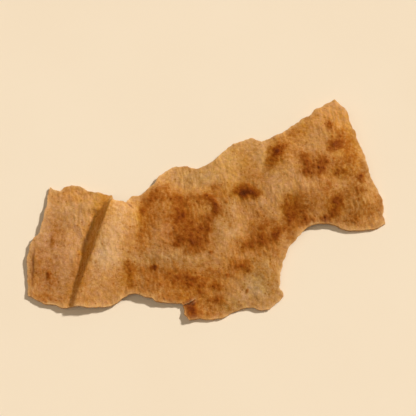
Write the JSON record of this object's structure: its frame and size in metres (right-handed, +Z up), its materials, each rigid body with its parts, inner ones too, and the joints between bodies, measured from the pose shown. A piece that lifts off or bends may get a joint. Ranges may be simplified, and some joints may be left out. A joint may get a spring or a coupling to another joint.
{
  "type": "broken piece of carasau flatbread",
  "caption": "Broken piece of thin, crisp, oven-dry flatbread with a torn outline, a baked-in pleat and toasted spots, lying toasted side up.",
  "frame": {"origin": "middle of the piece's box in plan, at the height of the table it lies on", "axes": "+X along its length from the pleated end towards the arm, +Y from its front edge in the picture towards the far edge, +Z up from the table, out of the toasted side"},
  "size_m": [0.2006, 0.1296, 0.0132],
  "materials": {
    "toasted_bread": "dry baked semolina dough, matt, pale gold with brown and dark toasted spots and a floury bloom"
  },
  "bodies": {
    "root": {"carasau_sheet": "toasted_bread"}
  },
  "joints": []
}
